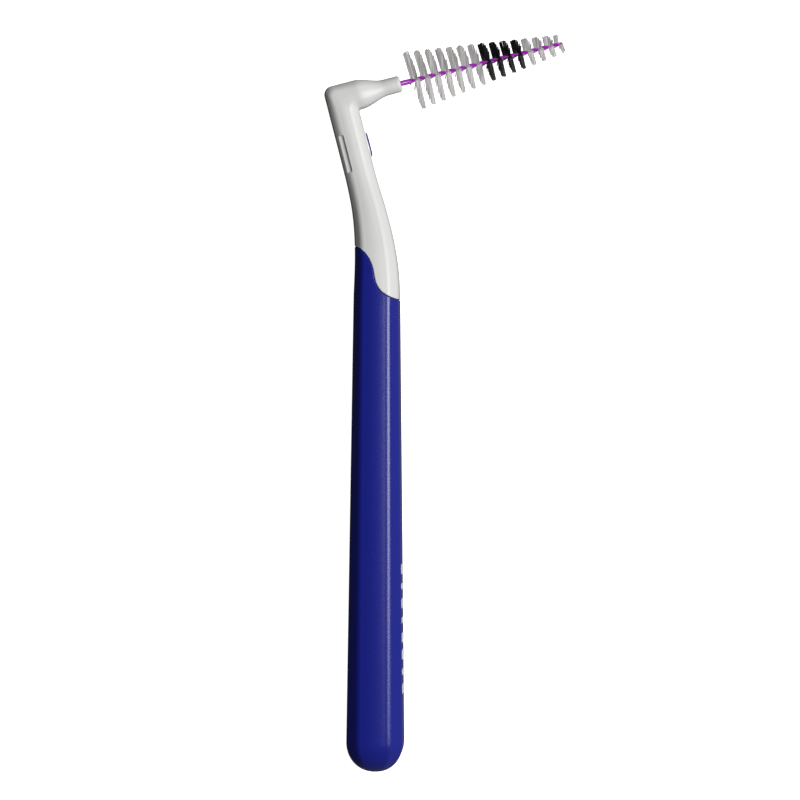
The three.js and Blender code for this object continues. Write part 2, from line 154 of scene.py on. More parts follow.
# A row's filaments stand in two tufts. Each filament has an upper half, up the neck, and a lower half.
# For each half, a tuft says where its filaments leave the wire and where they end, from its first filament
# to its last, as shares of half a twist from the row's middle. It says how far they lean out of the brush's
# middle plane, as (place in the tuft, degrees), and how far the lower halves lean at the wire.
NEAR_TUFT = {
    "filaments": 24,
    "upper": {
        "roots": (-0.36, 0.38),
        "tips": (-0.48, 0.46),
        "leans": ((0, -92), (0.08, -88), (0.1, -16), (0.62, 8), (0.72, 26), (0.82, 43), (0.92, 60), (1, 73)),
    },
    "lower": {
        "roots": (0.14, 0.54),
        "tips": (-0.14, 0.46),
        "leans": ((0, -72), (0.1, -60), (0.22, -42), (0.35, -24), (0.45, -8), (1, 10)),
    },
    "lower_root_lean": -80,
}
FAR_TUFT = {
    "filaments": 16,
    "upper": {
        "roots": (-0.3, 0.08),
        "tips": (-0.38, 0.06),
        "leans": ((0, -86), (1, -18)),
    },
    "lower": {
        "roots": (0.34, 0.5),
        "tips": (0.18, 0.42),
        "leans": ((0, 80), (1, 16)),
    },
    "lower_root_lean": 80,
}

# ---------------------------------------------------------------- camera and light

CAMERA_AIM = (3.5, 55.72, 0.0)
CAMERA_DISTANCE = 423.0
CAMERA_TURN = math.radians(3.0)  # towards the front of the handle
CAMERA_ROLL = math.radians(0.205)
CAMERA_LENS = 127.0
FLOOR_GAP = 0.0005  # metres below the brush

grip_low, grip_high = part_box("grip_overmould")
ORIGIN = Vector(((grip_low.x + grip_high.x) / 2, grip_low.y, (grip_low.z + grip_high.z) / 2))


def to_frame(points):
    """Points in the handle's layout, in millimetres, as metres in the CAD frame."""
    return np.asarray(points, float) * MM + np.array(ORIGIN)


def make_camera():
    aim = Vector(to_frame(CAMERA_AIM))
    back = Vector((math.sin(CAMERA_TURN), 0, math.cos(CAMERA_TURN)))
    up = Matrix.Rotation(CAMERA_ROLL, 3, back) @ Vector((0, 1, 0))
    right = up.cross(back).normalized()
    up = back.cross(right)
    data = bpy.data.cameras.new("camera")
    data.lens = CAMERA_LENS
    data.sensor_width = 36
    data.clip_start, data.clip_end = 0.01, 10
    camera = bpy.data.objects.new("camera", data)
    bpy.context.scene.collection.objects.link(camera)
    turned = Matrix((right, up, back)).transposed().to_4x4()
    camera.matrix_world = Matrix.Translation(aim + back * CAMERA_DISTANCE * MM) @ turned
    bpy.context.scene.camera = camera


def make_light(name, direction, distance, size, power):
    """A soft rectangular light that faces the middle of the object. Size and distance are in metres."""
    data = bpy.data.lights.new(name, "AREA")
    data.shape = "RECTANGLE"
    data.size, data.size_y = size
    data.energy = power
    light = bpy.data.objects.new(name, data)
    bpy.context.scene.collection.objects.link(light)
    away = Vector(direction).normalized()
    light.location = Vector(to_frame(CAMERA_AIM)) + away * distance
    light.rotation_mode = "QUATERNION"
    light.rotation_quaternion = away.to_track_quat("Z", "Y")


def make_world():
    """A dim room, darker towards the back of the handle."""
    world = bpy.data.worlds.new("room")
    bpy.context.scene.world = world
    world.use_nodes = True
    nodes, links = world.node_tree.nodes, world.node_tree.links
    nodes.clear()
    place = nodes.new("ShaderNodeTexCoord")
    axes = nodes.new("ShaderNodeSeparateXYZ")
    ramp = nodes.new("ShaderNodeMapRange")
    ramp.inputs["From Min"].default_value = -0.6
    ramp.inputs["From Max"].default_value = 0.9
    ramp.inputs["To Min"].default_value = 0.05
    ramp.inputs["To Max"].default_value = 0.3
    background = nodes.new("ShaderNodeBackground")
    output = nodes.new("ShaderNodeOutputWorld")
    links.new(place.outputs["Generated"], axes.inputs[0])
    links.new(axes.outputs["X"], ramp.inputs["Value"])
    links.new(ramp.outputs["Result"], background.inputs["Strength"])
    links.new(background.outputs[0], output.inputs[0])


def make_stage():
    """A wide floor lit from below, as a light table is, so that it stays white and takes no shadow."""
    bpy.ops.mesh.primitive_plane_add(size=6, location=(0, 0, -FLOOR_GAP))
    floor = bpy.context.object
    floor.name = "floor"
    material = bpy.data.materials.new("floor_white")
    material.use_nodes = True
    shader = material.node_tree.nodes["Principled BSDF"]
    shader.inputs["Base Color"].default_value = (0.85, 0.85, 0.85, 1)
    shader.inputs["Roughness"].default_value = 0.9
    shader.inputs["Emission Color"].default_value = (1, 1, 1, 1)
    shader.inputs["Emission Strength"].default_value = 1.0
    floor.data.materials.append(material)
    floor.visible_diffuse = False
    floor.visible_glossy = False


make_camera()
make_stage()
make_world()
make_light("key", (0.6, 0.12, 0.79), 0.6, (0.3, 0.4), 3.6)
bpy.context.scene.view_settings.view_transform = "Standard"

# ---------------------------------------------------------------- meshes

SMOOTH_ANGLE = 40  # degrees: an edge that turns by more stays sharp


def make_object(name, vertices, faces, smooth_angle=SMOOTH_ANGLE):
    """A closed mesh object from points in the handle's layout."""
    mesh = bpy.data.meshes.new(name)
    mesh.from_pydata(to_frame(vertices).tolist(), [], faces)
    made = bmesh.new()
    made.from_mesh(mesh)
    bmesh.ops.recalc_face_normals(made, faces=made.faces)
    made.to_mesh(mesh)
    made.free()
    piece = bpy.data.objects.new(name, mesh)
    bpy.context.scene.collection.objects.link(piece)
    shade_smooth(piece, smooth_angle)
    return piece


def shade_smooth(piece, angle):
    """Smooth shading, apart from edges that turn by more than angle degrees."""
    piece.data.shade_smooth()
    made = bmesh.new()
    made.from_mesh(piece.data)
    for edge in made.edges:
        edge.smooth = not edge.is_manifold or edge.calc_face_angle(0) < math.radians(angle)
    made.to_mesh(piece.data)
    made.free()


def loft(rings, looped=False):
    """Vertices and faces that join rings of points. Open ends are closed by a fan."""
    rings = [np.asarray(ring, float) for ring in rings]
    count = len(rings[0])
    vertices = np.concatenate(rings)
    faces = []
    bands = len(rings) if looped else len(rings) - 1
    for band in range(bands):
        lower = band * count
        upper = (band + 1) % len(rings) * count
        for i in range(count):
            after = (i + 1) % count
            faces.append((lower + i, lower + after, upper + after, upper + i))
    if not looped:
        for ring in (0, len(rings) - 1):
            middle = len(vertices)
            vertices = np.vstack([vertices, rings[ring].mean(axis=0)])
            first = ring * count
            faces += [(first + i, first + (i + 1) % count, middle) for i in range(count)]
    return vertices, faces


def cut(piece, cutter):
    """Takes cutter's shape out of piece, and removes cutter."""
    modifier = piece.modifiers.new("cut", "BOOLEAN")
    modifier.operation = "DIFFERENCE"
    modifier.solver = "EXACT"
    modifier.object = cutter
    bpy.context.view_layer.update()
    graph = bpy.context.evaluated_depsgraph_get()
    mesh = bpy.data.meshes.new_from_object(piece.evaluated_get(graph))
    piece.modifiers.clear()
    piece.data = mesh
    bpy.data.objects.remove(cutter)
    shade_smooth(piece, SMOOTH_ANGLE)


# ---------------------------------------------------------------- the handle's section
# A section is a list of columns, each a point [u, z]. The eight corners are rounded, and the side faces have
# many columns where the parting line crosses them steeply.

CORNER_SHARES = np.linspace(0, 1, 8)
PLAIN_SHARES = np.linspace(0, 1, 7)[1:-1]
SIDE_SHARES = np.concatenate([
    np.linspace(0.06, 0.42, 7),
    np.linspace(0.44, 0.68, 36),
    np.linspace(0.71, 0.94, 5),
])
SIDE_FACES = (2, 6)
FACE_SHARES = [PLAIN_SHARES] * 8
FACE_SHARES[SIDE_FACES[0]] = SIDE_SHARES
FACE_SHARES[SIDE_FACES[1]] = 1 - SIDE_SHARES[::-1]


def quadratic(t, start, control, end):
    """The point at t on a quadratic curve."""
    return (1 - t) ** 2 * start + 2 * t * (1 - t) * control + t**2 * end


def cubic(t, p):
    """The point at t on the cubic curve with the control points p."""
    return (1 - t) ** 3 * p[0] + 3 * t * (1 - t) ** 2 * p[1] + 3 * t**2 * (1 - t) * p[2] + t**3 * p[3]


def section(half_thickness, half_side, half_depth, half_front, crown=0.0):
    """Octagons with rounded corners, as an array of [section, column, (u, z)]. Each size is an array."""
    sizes = np.broadcast_arrays(half_thickness, half_side, half_depth, half_front, crown)
    a, b, c, f, crown = (np.atleast_1d(size).astype(float) for size in sizes)
    c = c - crown
    corners = np.stack([
        np.stack(point, axis=-1)
        for point in ((a, -f), (a, f), (b, c), (-b, c), (-a, f), (-a, -f), (-b, -c), (b, -c))
    ], axis=1)

    def set_back(towards):
        """Each corner moved towards its neighbour, by no more than 0.4 of the face between them."""
        apart = towards - corners
        length = np.linalg.norm(apart, axis=-1, keepdims=True)
        return corners + apart * np.minimum(SECTION_CORNER / length, 0.4)

    entries = set_back(np.roll(corners, 1, axis=1))
    exits = set_back(np.roll(corners, -1, axis=1))
    columns = []
    for k in range(8):
        for t in CORNER_SHARES:
            columns.append(quadratic(t, entries[:, k], corners[:, k], exits[:, k]))
        following = entries[:, (k + 1) % 8]
        for t in FACE_SHARES[k]:
            point = exits[:, k] * (1 - t) + following * t
            if k in SIDE_FACES:
                point[:, 1] += np.sign(point[:, 1]) * crown * (1 - (2 * t - 1) ** 2)
            columns.append(point)
    return np.stack(columns, axis=1)


def round_section(radius):
    """A circle whose columns match section()'s: 30 degrees to each corner and 15 to each face."""
    angles = []
    for k in range(8):
        angles += [45 * k - 37.5 + 30 * t for t in CORNER_SHARES]
        angles += [45 * k - 7.5 + 15 * t for t in FACE_SHARES[k]]
    angles = np.radians(angles)
    return radius * np.stack([np.cos(angles), np.sin(angles)], axis=-1)


COLUMNS = len(round_section(1.0))
Z_AXIS = np.array([0, 0, 1])


def lerp(a, b, share):
    return a + (b - a) * share


def smoothstep(value, start, end):
    share = np.clip((value - start) / (end - start), 0, 1)
    return share * share * (3 - 2 * share)


def handle_frame(s):
    """The middle line at s, and the directions towards the head and towards the front."""
    s = np.atleast_1d(np.asarray(s, float))
    turned = np.clip((s - BEND_START) / BEND_RADIUS, 0, BEND_ANGLE)
    beyond = np.maximum(s - BEND_END, 0)
    sin, cos = np.sin(turned), np.cos(turned)
    zero = np.zeros_like(s)
    x = -BEND_RADIUS * (1 - cos) - beyond * sin
    y = np.minimum(s, BEND_START) + BEND_RADIUS * sin + beyond * cos
    return np.stack([x, y, zero], -1), np.stack([-sin, cos, zero], -1), np.stack([cos, sin, zero], -1)


def station(s):
    """handle_frame() for one station: a point and two directions."""
    return tuple(value[0] for value in handle_frame(s))


def place_ring(centre, across, flat):
    """Points [u, z] of a section, with u along across."""
    return centre + across * flat[:, :1] + Z_AXIS * flat[:, 1:]


def handle_section(s):
    """The outer section of grip and neck at each s."""
    up = np.minimum(np.asarray(s, float) / GRIP_TOP, 1)
    slim = smoothstep(s, NECK_START, NECK_END)
    shallow = smoothstep(s, DEPTH_START, DEPTH_END)
    return section(
        lerp(lerp(*GRIP_THICKNESS, up), NECK_THICKNESS, slim) / 2,
        lerp(lerp(*GRIP_SIDE_FACE, up), NECK_SIDE_FACE, slim) / 2,
        lerp(GRIP_DEPTH, NECK_DEPTH, shallow) / 2,
        lerp(GRIP_FRONT_FACE, NECK_FRONT_FACE, shallow) / 2,
        crown=lerp(GRIP_CROWN, NECK_CROWN, shallow),
    )


def spine_section(s, gap=0.0):
    """The section of the spine at each s, or with a gap, of the bore that it sits in."""
    thickness = lerp(*SPINE_THICKNESS, np.minimum(np.asarray(s, float) / GRIP_TOP, 1)) / 2 + gap
    depth = np.full_like(thickness, SPINE_DEPTH / 2 + gap)
    return section(thickness, thickness - SPINE_CHAMFER, depth, depth - SPINE_CHAMFER)


def column_points(s, sections):
    """Column i of the section at s[i], for every column, as points on the handle."""
    s = np.broadcast_to(np.asarray(s, float), (COLUMNS,))
    flat = sections(s)[np.arange(COLUMNS), np.arange(COLUMNS)]
    point, _, front = handle_frame(s)
    return place_ring(point, front, flat)


def column_normals(s):
    """The outward direction of each column of the handle at s."""
    around = handle_section(s)
    i = np.arange(COLUMNS)
    step = around[i, (i + 1) % COLUMNS] - around[i, i - 1]
    step /= np.linalg.norm(step, axis=1, keepdims=True)
    _, _, front = handle_frame(s)
    return front * step[:, 1:] - Z_AXIS * step[:, :1]


# ---------------------------------------------------------------- the parting line


def parting_line(offset):
    """Points along the parting line, moved by offset towards the neck, and its direction to the neck."""
    t = np.linspace(0, 1, 120)[:, None]
    back, front = (cubic(t, points) for points in np.array(PARTING))
    line = np.concatenate([back, front[1:]])
    step = np.gradient(line, axis=0)
    towards = np.stack([-step[:, 1], step[:, 0]], axis=-1)
    towards /= np.linalg.norm(towards, axis=1, keepdims=True)
    return line + towards * offset, towards


def parting_stations(sections, offset):
    """Where each column of the sections crosses the parting line."""
    line, _ = parting_line(offset)
    low, high = (np.full(COLUMNS, end) for end in PARTING_SEARCH)
    for _ in range(40):  # halvings
        middle = (low + high) / 2
        point = column_points(middle, sections)
        above = point[:, 1] > np.interp(point[:, 0], line[:, 0], line[:, 1])
        low, high = np.where(above, low, middle), np.where(above, middle, high)
    return low


def parting_edge(round_radius, offset, side):
    """Rings that roll the outer surface in at the parting line. side is 1 on the grip, -1 on the neck."""
    stations = parting_stations(handle_section, offset)
    base = column_points(stations, handle_section)
    line, towards = parting_line(offset)
    forward = np.stack([np.interp(base[:, 0], line[:, 0], towards[:, k]) for k in (0, 1)], axis=-1)
    forward = np.column_stack([forward, np.zeros(COLUMNS)])
    inward = -column_normals(stations)
    rings = []
    for angle in np.radians(np.linspace(0, 90, 7)):
        rings.append(base + forward * side * round_radius * math.sin(angle)
                     + inward * round_radius * (1 - math.cos(angle)))
    return stations, rings


# ---------------------------------------------------------------- grip and neck


def grip_piece():
    """One closed surface: up the outside, in over the parting edge, and down the bore for the spine."""
    rings = []
    for angle in np.radians(np.linspace(3, 87, 22)):
        s = GRIP_END_ROUND * (1 - math.cos(angle))
        flat = handle_section(s)[0] * math.sin(angle)
        rings.append(np.column_stack([flat[:, 0], np.full(COLUMNS, s), flat[:, 1]]))
    for s in np.linspace(GRIP_END_ROUND, DEPTH_START, 32):
        rings.append(column_points(s, handle_section))
    stations, edge = parting_edge(GRIP_EDGE_ROUND, -PARTING_GAP - GRIP_EDGE_ROUND, 1)
    for share in np.linspace(0, 1, 25)[1:-1]:
        rings.append(column_points(lerp(DEPTH_START, stations, share), handle_section))
    rings += edge

    def bore(s):
        return spine_section(s, PARTING_GAP)

    top = parting_stations(bore, -PARTING_GAP)
    for share in (0, 0.25, 0.5, 0.75, 1):
        rings.append(column_points(lerp(top, SPINE_LEVEL, share), bore))
    rings.append(column_points(SPINE_START - PARTING_GAP, bore))
    return make_object("grip", *loft(rings))


def elbow_rings():
    """Rings that turn the neck into the head: a fan about a pivot inside the elbow."""
    point, along, front = station(ELBOW_S)
    pivot = point + front * (NECK_THICKNESS / 2 + INNER_FILLET) - along * (HEAD_THICKNESS / 2 + INNER_FILLET)
    back, top = NECK_THICKNESS + INNER_FILLET, HEAD_THICKNESS + INNER_FILLET
    outline = [(back, y) for y in np.linspace(0, top - OUTER_CORNER, 9)[1:-1]]
    for angle in np.radians(np.linspace(0, 90, 15)):
        backwards = back - OUTER_CORNER * (1 - math.cos(angle))
        upwards = top - OUTER_CORNER * (1 - math.sin(angle))
        outline.append((backwards, upwards))
    outline += [(x, top) for x in np.linspace(back - OUTER_CORNER, 0, 9)[1:]]
    rings = []
    for backwards, upwards in outline:
        reach = math.hypot(backwards, upwards)
        outward = (along * upwards - front * backwards) / reach
        half = (reach - INNER_FILLET) / 2
        centre = pivot + outward * (INNER_FILLET + half)
        rings.append(place_ring(centre, -outward, head_section(half * 2)))
    return rings


def head_section(thickness):
    """The neck's section with another thickness."""
    chamfer = (NECK_THICKNESS - NECK_SIDE_FACE) / 2
    return section(thickness / 2, thickness / 2 - chamfer, NECK_DEPTH / 2, NECK_FRONT_FACE / 2,
                   crown=NECK_CROWN)[0]


def nozzle_rings():
    """Rings along the head, from its plain section to the nozzle's round end."""
    point, along, front = station(ELBOW_S)
    rings = []
    head, nozzle = head_section(HEAD_THICKNESS), round_section(NOZZLE_RADIUS)
    lower_share = smoothstep(head[:, :1], -TAPER_BLEND, TAPER_BLEND)
    for h in np.linspace(UPPER_TAPER[0], LOWER_TAPER[1], 34):
        slim = lerp(smoothstep(h, *UPPER_TAPER), smoothstep(h, *LOWER_TAPER), lower_share)
        rings.append(place_ring(point + front * h, -along, lerp(head, nozzle, slim)))
    for angle in np.radians(np.linspace(0, 90, 8)):
        h = NOZZLE_END - NOZZLE_ROUND * (1 - math.sin(angle))
        radius = NOZZLE_RADIUS - NOZZLE_ROUND * (1 - math.cos(angle))
        rings.append(place_ring(point + front * h, -along, round_section(radius)))
    return rings


def neck_piece():
    """One closed surface, up the spine, out over the parting edge and on to the nozzle, with its cuts."""
    rings = [column_points(SPINE_START, spine_section)]
    top = parting_stations(spine_section, PARTING_GAP)
    for share in (1, 0.75, 0.5, 0.25, 0):
        rings.append(column_points(lerp(top, SPINE_LEVEL, share), spine_section))
    stations, edge = parting_edge(NECK_EDGE_ROUND, PARTING_GAP + NECK_EDGE_ROUND, -1)
    rings += edge[::-1]
    straight = BEND_END + 1  # the rings are level again by here
    for share in np.linspace(0, 1, 30)[1:]:
        rings.append(column_points(lerp(stations, straight, share), handle_section))
    last = ELBOW_S - HEAD_THICKNESS / 2 - INNER_FILLET
    for s in np.linspace(straight, last, 24)[1:]:
        rings.append(column_points(s, handle_section))
    rings += elbow_rings() + nozzle_rings()
    neck = make_object("neck", *loft(rings))
    for side in (1, -1):
        cut(neck, rebate_cutter(side))
    cut(neck, badge_cutter())
    cut(neck, bore_cutter())
    return neck


def rebate_cutter(side):
    """The rebate in the back of one side face. side is 1 for the near face and -1 for the far one."""
    point, along, front = station(ELBOW_S - REBATE_CENTRE)
    half, corner = REBATE_LENGTH / 2, REBATE_CORNER
    outline = [(-CUTTER_REACH, -half)]
    for start, centre_v in ((-90, corner - half), (0, half - corner)):
        for angle in np.radians(np.linspace(start, start + 90, 7)):
            u = -REBATE_WALL - corner + corner * math.cos(angle)
            v = centre_v + corner * math.sin(angle)
            outline.append((u, v))
    outline.append((-CUTTER_REACH, half))
    floor = NECK_DEPTH / 2 - REBATE_DEPTH
    rings = []
    for z in (floor, floor + CUTTER_DEPTH):
        rings.append([point + front * u + along * v + Z_AXIS * side * z for u, v in outline])
    return make_object("cutter", *loft(rings))


def oval_rings(layers, grown=0.0):
    """Ovals on the neck's front face: each layer is (height above the face, inset from the edge)."""
    point, along, front = station(ELBOW_S - BADGE_CENTRE)
    seat = point + front * NECK_THICKNESS / 2
    angles = np.linspace(0, 2 * math.pi, 64, endpoint=False)[:, None]
    rings = []
    for height, inset in layers:
        length = BADGE_LENGTH / 2 + grown - inset
        width = BADGE_WIDTH / 2 + grown - inset
        rings.append(seat + front * height + along * length * np.cos(angles)
                     + Z_AXIS * width * np.sin(angles))
    return rings


def badge_cutter():
    pocket = [(-BADGE_SUNK - POCKET_FLOOR_GAP, 0), (1, 0)]
    return make_object("cutter", *loft(oval_rings(pocket, grown=POCKET_GAP)))


def badge_pieces():
    """The badge's pale rim, and the blue dome inside it."""
    rim = oval_rings([
        (-BADGE_SUNK, 0),
        (BADGE_RIM_PROUD * 0.5, 0),
        (BADGE_RIM_PROUD * 0.9, 0.03),
        (BADGE_RIM_PROUD, 0.07),
        (BADGE_RIM_PROUD, BADGE_RIM - 0.03),
        (BADGE_RIM_PROUD * 0.7, BADGE_RIM),
        (-BADGE_SUNK, BADGE_RIM),
    ])
    edge = BADGE_RIM + BADGE_SEAM
    dome = [(-BADGE_SUNK, edge), (BADGE_RIM_PROUD, edge)]
    for angle in np.radians(np.linspace(0, 80, 9)):
        height = lerp(BADGE_RIM_PROUD, BADGE_PROUD, math.sin(angle) ** 0.7)
        dome.append((height, edge + (BADGE_WIDTH / 2 - BADGE_RIM) * (1 - math.cos(angle))))
    rim_piece = make_object("badge_rim", *loft(rim, looped=True))
    return rim_piece, make_object("badge_face", *loft(oval_rings(dome)))


# ---------------------------------------------------------------- wire
# The wire's own layout: +X along the wire to the tip, +Y up the neck, origin at the elbow.


def from_wire(points):
    """Points in the wire's layout as points in the handle's, with the droop beyond the nozzle."""
    point, along, front = station(ELBOW_S)
    points = np.array(points, float)
    points[:, 1] -= DROOP * np.maximum(points[:, 0] - NOZZLE_END, 0)
    return point + points[:, :1] * front + points[:, 1:2] * along + points[:, 2:] * Z_AXIS


def twist(h):
    """How far the strands have turned about the wire's axis at h."""
    return math.pi * max(h - TWIST_START, 0) / HALF_TWIST


def turn_about_wire(vector, angle):
    x, y, z = vector
    return np.array([x, y * math.cos(angle) - z * math.sin(angle), y * math.sin(angle) + z * math.cos(angle)])


def strand_offset(h):
    """How far the strands' middles are from the wire's axis at h."""
    if h <= NOZZLE_END:
        return lerp(ANCHOR_OFFSET, STRAND_OFFSET, float(smoothstep(h, ANCHOR_H, ANCHOR_H + ANCHOR_LENGTH)))
    bow = math.sin(math.pi * min((h - NOZZLE_END) / (TWIST_START - NOZZLE_END), 1)) ** 2
    spread = float(smoothstep(h, FOLD_H - FOLD_SPREAD, FOLD_H))
    return STRAND_OFFSET + (EYE_OFFSET - STRAND_OFFSET) * bow + (FOLD_OFFSET - STRAND_OFFSET) * spread


def wire_line(trimmed):
    """The folded wire's middle line and a direction across it: out on one strand and back on the other."""
    reach = np.concatenate([
        np.linspace(ANCHOR_H + trimmed, NOZZLE_END, 26),
        np.linspace(NOZZLE_END, TWIST_START, 25)[1:],
        np.linspace(TWIST_START, FOLD_H, 14 * ROWS)[1:],
    ])
    line = [((h, strand_offset(h), 0), (0, 1, 0), twist(h)) for h in reach]
    fold = []
    for angle in np.radians(np.linspace(0, 180, 17)[1:-1]):
        point = (FOLD_H + FOLD_OFFSET * math.sin(angle), FOLD_OFFSET * math.cos(angle), 0)
        fold.append((point, (math.sin(angle), math.cos(angle), 0), twist(FOLD_H)))
    home = [((h, -strand_offset(h), 0), (0, -1, 0), twist(h)) for h in reach[::-1]]
    return [(turn_about_wire(p, turn), turn_about_wire(v, turn)) for p, v, turn in line + fold + home]


def sweep(line, radius, sides):
    """Rings of a round tube along line, a list of (point, direction across)."""
    points = np.array([point for point, _ in line])
    tangents = np.gradient(points, axis=0)
    angles = np.linspace(0, 2 * math.pi, sides, endpoint=False)
    rings = []
    for point, tangent, (_, across) in zip(points, tangents, line):
        tangent = tangent / np.linalg.norm(tangent)
        across = across - tangent * np.dot(across, tangent)
        across = across / np.linalg.norm(across)
        other = np.cross(tangent, across)
        rings.append([point + radius * (math.cos(a) * across + math.sin(a) * other) for a in angles])
    return rings


def wire_pieces():
    coated = wire_line(BARE_END)
    outside = sweep(coated, COATING_RADIUS, 14)
    inside = sweep(coated, COATING_BORE, 14)
    coating = [from_wire(ring) for ring in outside + inside[::-1]]
    steel = [from_wire(ring) for ring in sweep(wire_line(0), STEEL_RADIUS, 10)]
    return make_object("coating", *loft(coating, looped=True)), make_object("steel_core", *loft(steel))


def bore_cutter():
    """The slot for both strands, from just behind their ends to just outside the nozzle."""
    reach = COATING_RADIUS + BORE_GAP
    angles = np.radians(np.linspace(0, 360, 24, endpoint=False) + 7.5)
    spreading = [ANCHOR_H + ANCHOR_LENGTH * share for share in (0, 0.25, 0.5, 0.75, 1)]
    rings = []
    for h in (ANCHOR_H - 0.1, *spreading, NOZZLE_END + 0.2):
        middle = strand_offset(min(h, NOZZLE_END))
        slot = []
        for angle in angles:
            up, out = reach * math.cos(angle), reach * math.sin(angle)
            slot.append((h, math.copysign(middle, up) + up, out))
        rings.append(from_wire(slot))
    return make_object("cutter", *loft(rings))


# ---------------------------------------------------------------- filaments


def row_radius(h):
    """The brush's radius at h."""
    first = TWIST_START + HALF_TWIST / 2
    return lerp(*ROW_RADIUS, (h - first) / (HALF_TWIST * (ROWS - 1)))


def fan_angle(leans, place):
    """The lean at a place in the tuft, in radians."""
    places, angles = zip(*leans)
    return math.radians(float(np.interp(place, places, angles)))


def half_filament(row, tuft, place, beside, side, chance):
    """Points from the wire's axis to the tip. side is 1 for the half up the neck, -1 for the other."""
    middle = TWIST_START + (row + 0.5) * HALF_TWIST
    half = tuft["upper" if side > 0 else "lower"]
    sweep_h = lerp(*TIP_SWEEP, row / (ROWS - 1))
    tip_h = middle + (lerp(*half["tips"], place) + sweep_h) * HALF_TWIST
    tip_h += chance.uniform(-TIP_SPREAD, TIP_SPREAD)
    root_h = middle + lerp(*half["roots"], place) * HALF_TWIST
    inner_h = axis_h(row, tuft, place)
    cluster = (math.floor(place * tuft["filaments"] / CLUSTER) + 0.5) * CLUSTER / tuft["filaments"]
    lean = fan_angle(half["leans"], cluster) + chance.uniform(-LEAN_SPREAD, LEAN_SPREAD)
    root_lean = lean if side > 0 else math.radians(tuft["lower_root_lean"])
    radius = row_radius(tip_h) * chance.uniform(*LENGTH_SPREAD)
    points = []
    for share in FILAMENT_STOPS:
        reach = radius * share
        angle = lerp(root_lean, lean, float(smoothstep(reach, *LEAN_REACH)))
        h = lerp(lerp(inner_h, root_h, float(smoothstep(reach, 0, ROOT_REACH))), tip_h, share)
        up = side * reach * math.cos(angle) - math.sin(angle) * beside
        out = side * reach * math.sin(angle) + math.cos(angle) * beside
        points.append(np.array([h, up, out]))
    return points


def axis_h(row, tuft, place):
    """Where a filament crosses the wire's axis: midway between where its halves leave it."""
    upper, lower = lerp(*tuft["upper"]["roots"], place), lerp(*tuft["lower"]["roots"], place)
    return TWIST_START + (row + 0.5 + (upper + lower) / 2) * HALF_TWIST


def filament(row, tuft, place, beside, chance):
    """One filament through the wire: the rings of a tube with rounded ends."""
    lower = half_filament(row, tuft, place, beside, -1, chance)
    upper = half_filament(row, tuft, place, beside, 1, chance)
    points = lower[::-1] + upper[1:]
    rings = sweep([(point, (1, 0, 0)) for point in points], FILAMENT_RADIUS, 7)
    first = rounded_end(points[0], points[1], rings[0])
    last = rounded_end(points[-1], points[-2], rings[-1])
    return [from_wire(ring) for ring in first + rings[1:-1] + last[::-1]]


def rounded_end(tip, before, ring):
    """Rings that round off a filament, in place of the ring at its tip."""
    inward = (before - tip) / np.linalg.norm(before - tip)
    profile = ((0.45, 0.0), (0.85, 0.35), (1.0, 1.0))  # share of the radius, and depth in radii
    return [[tip + (np.array(p) - tip) * size + inward * depth * FILAMENT_RADIUS for p in ring]
            for size, depth in profile]


def filament_row(row, chance):
    """One row: both of its tufts in one mesh, less the filaments that would be beyond the fold."""
    vertices, faces = [], []
    count = 0
    for tuft in (NEAR_TUFT, FAR_TUFT):
        for number in range(tuft["filaments"]):
            place = (number + 0.5) / tuft["filaments"]
            if axis_h(row, tuft, place) > FOLD_H + FOLD_MARGIN:
                continue
            beside = chance.uniform(-BESIDE_SPREAD, BESIDE_SPREAD)
            points, sides = loft(filament(row, tuft, place, beside, chance))
            vertices.append(points)
            faces += [tuple(count + i for i in face) for face in sides]
            count += len(points)
    piece = make_object(f"filaments_{row + 1:02d}", np.concatenate(vertices), faces, FILAMENT_SMOOTH_ANGLE)
    piece.visible_shadow = row + 1 in BLACK_ROWS  # white nylon lets most of the light through
    return piece


# ---------------------------------------------------------------- printed marks
# A plain row of dots and dashes on the grip's front face, raised by the thickness of the ink.

MARKS_START, MARKS_PITCH = 12.6, 2.55
MARKS = "-.--.-.-"
MARK_HALF_WIDTH = 2.62
MARK_HALF_LENGTH = {"-": 0.75, ".": 0.45}
INK = 0.02  # thickness above the surface, and depth below it


def mark_piece(number, kind):
    """One printed bar across the front face, with round ends."""
    middle = MARKS_START + number * MARKS_PITCH
    half_length = MARK_HALF_LENGTH[kind]
    round_end = half_length * 0.9
    outline = []
    for centre, start in ((MARK_HALF_WIDTH - round_end, 0), (round_end - MARK_HALF_WIDTH, 180)):
        for angle in np.radians(np.linspace(start, start + 180, 9)):
            outline.append((half_length * math.cos(angle), centre + round_end * math.sin(angle)))
    rings = []
    for height in (-INK, INK):
        ring = []
        for y, z in outline:
            half_thickness = lerp(*GRIP_THICKNESS, (middle + y) / GRIP_TOP) / 2
            ring.append((half_thickness + height, middle + y, z))
        rings.append(ring)
    return make_object(f"mark_{number + 1:02d}", *loft(rings))


# ---------------------------------------------------------------- materials


COLOUR_PATCH = 6.0  # millimetres across
ROUGHNESS_RANGE = (0.88, 1.12)
GRAIN_DEPTH = 0.00005  # metres


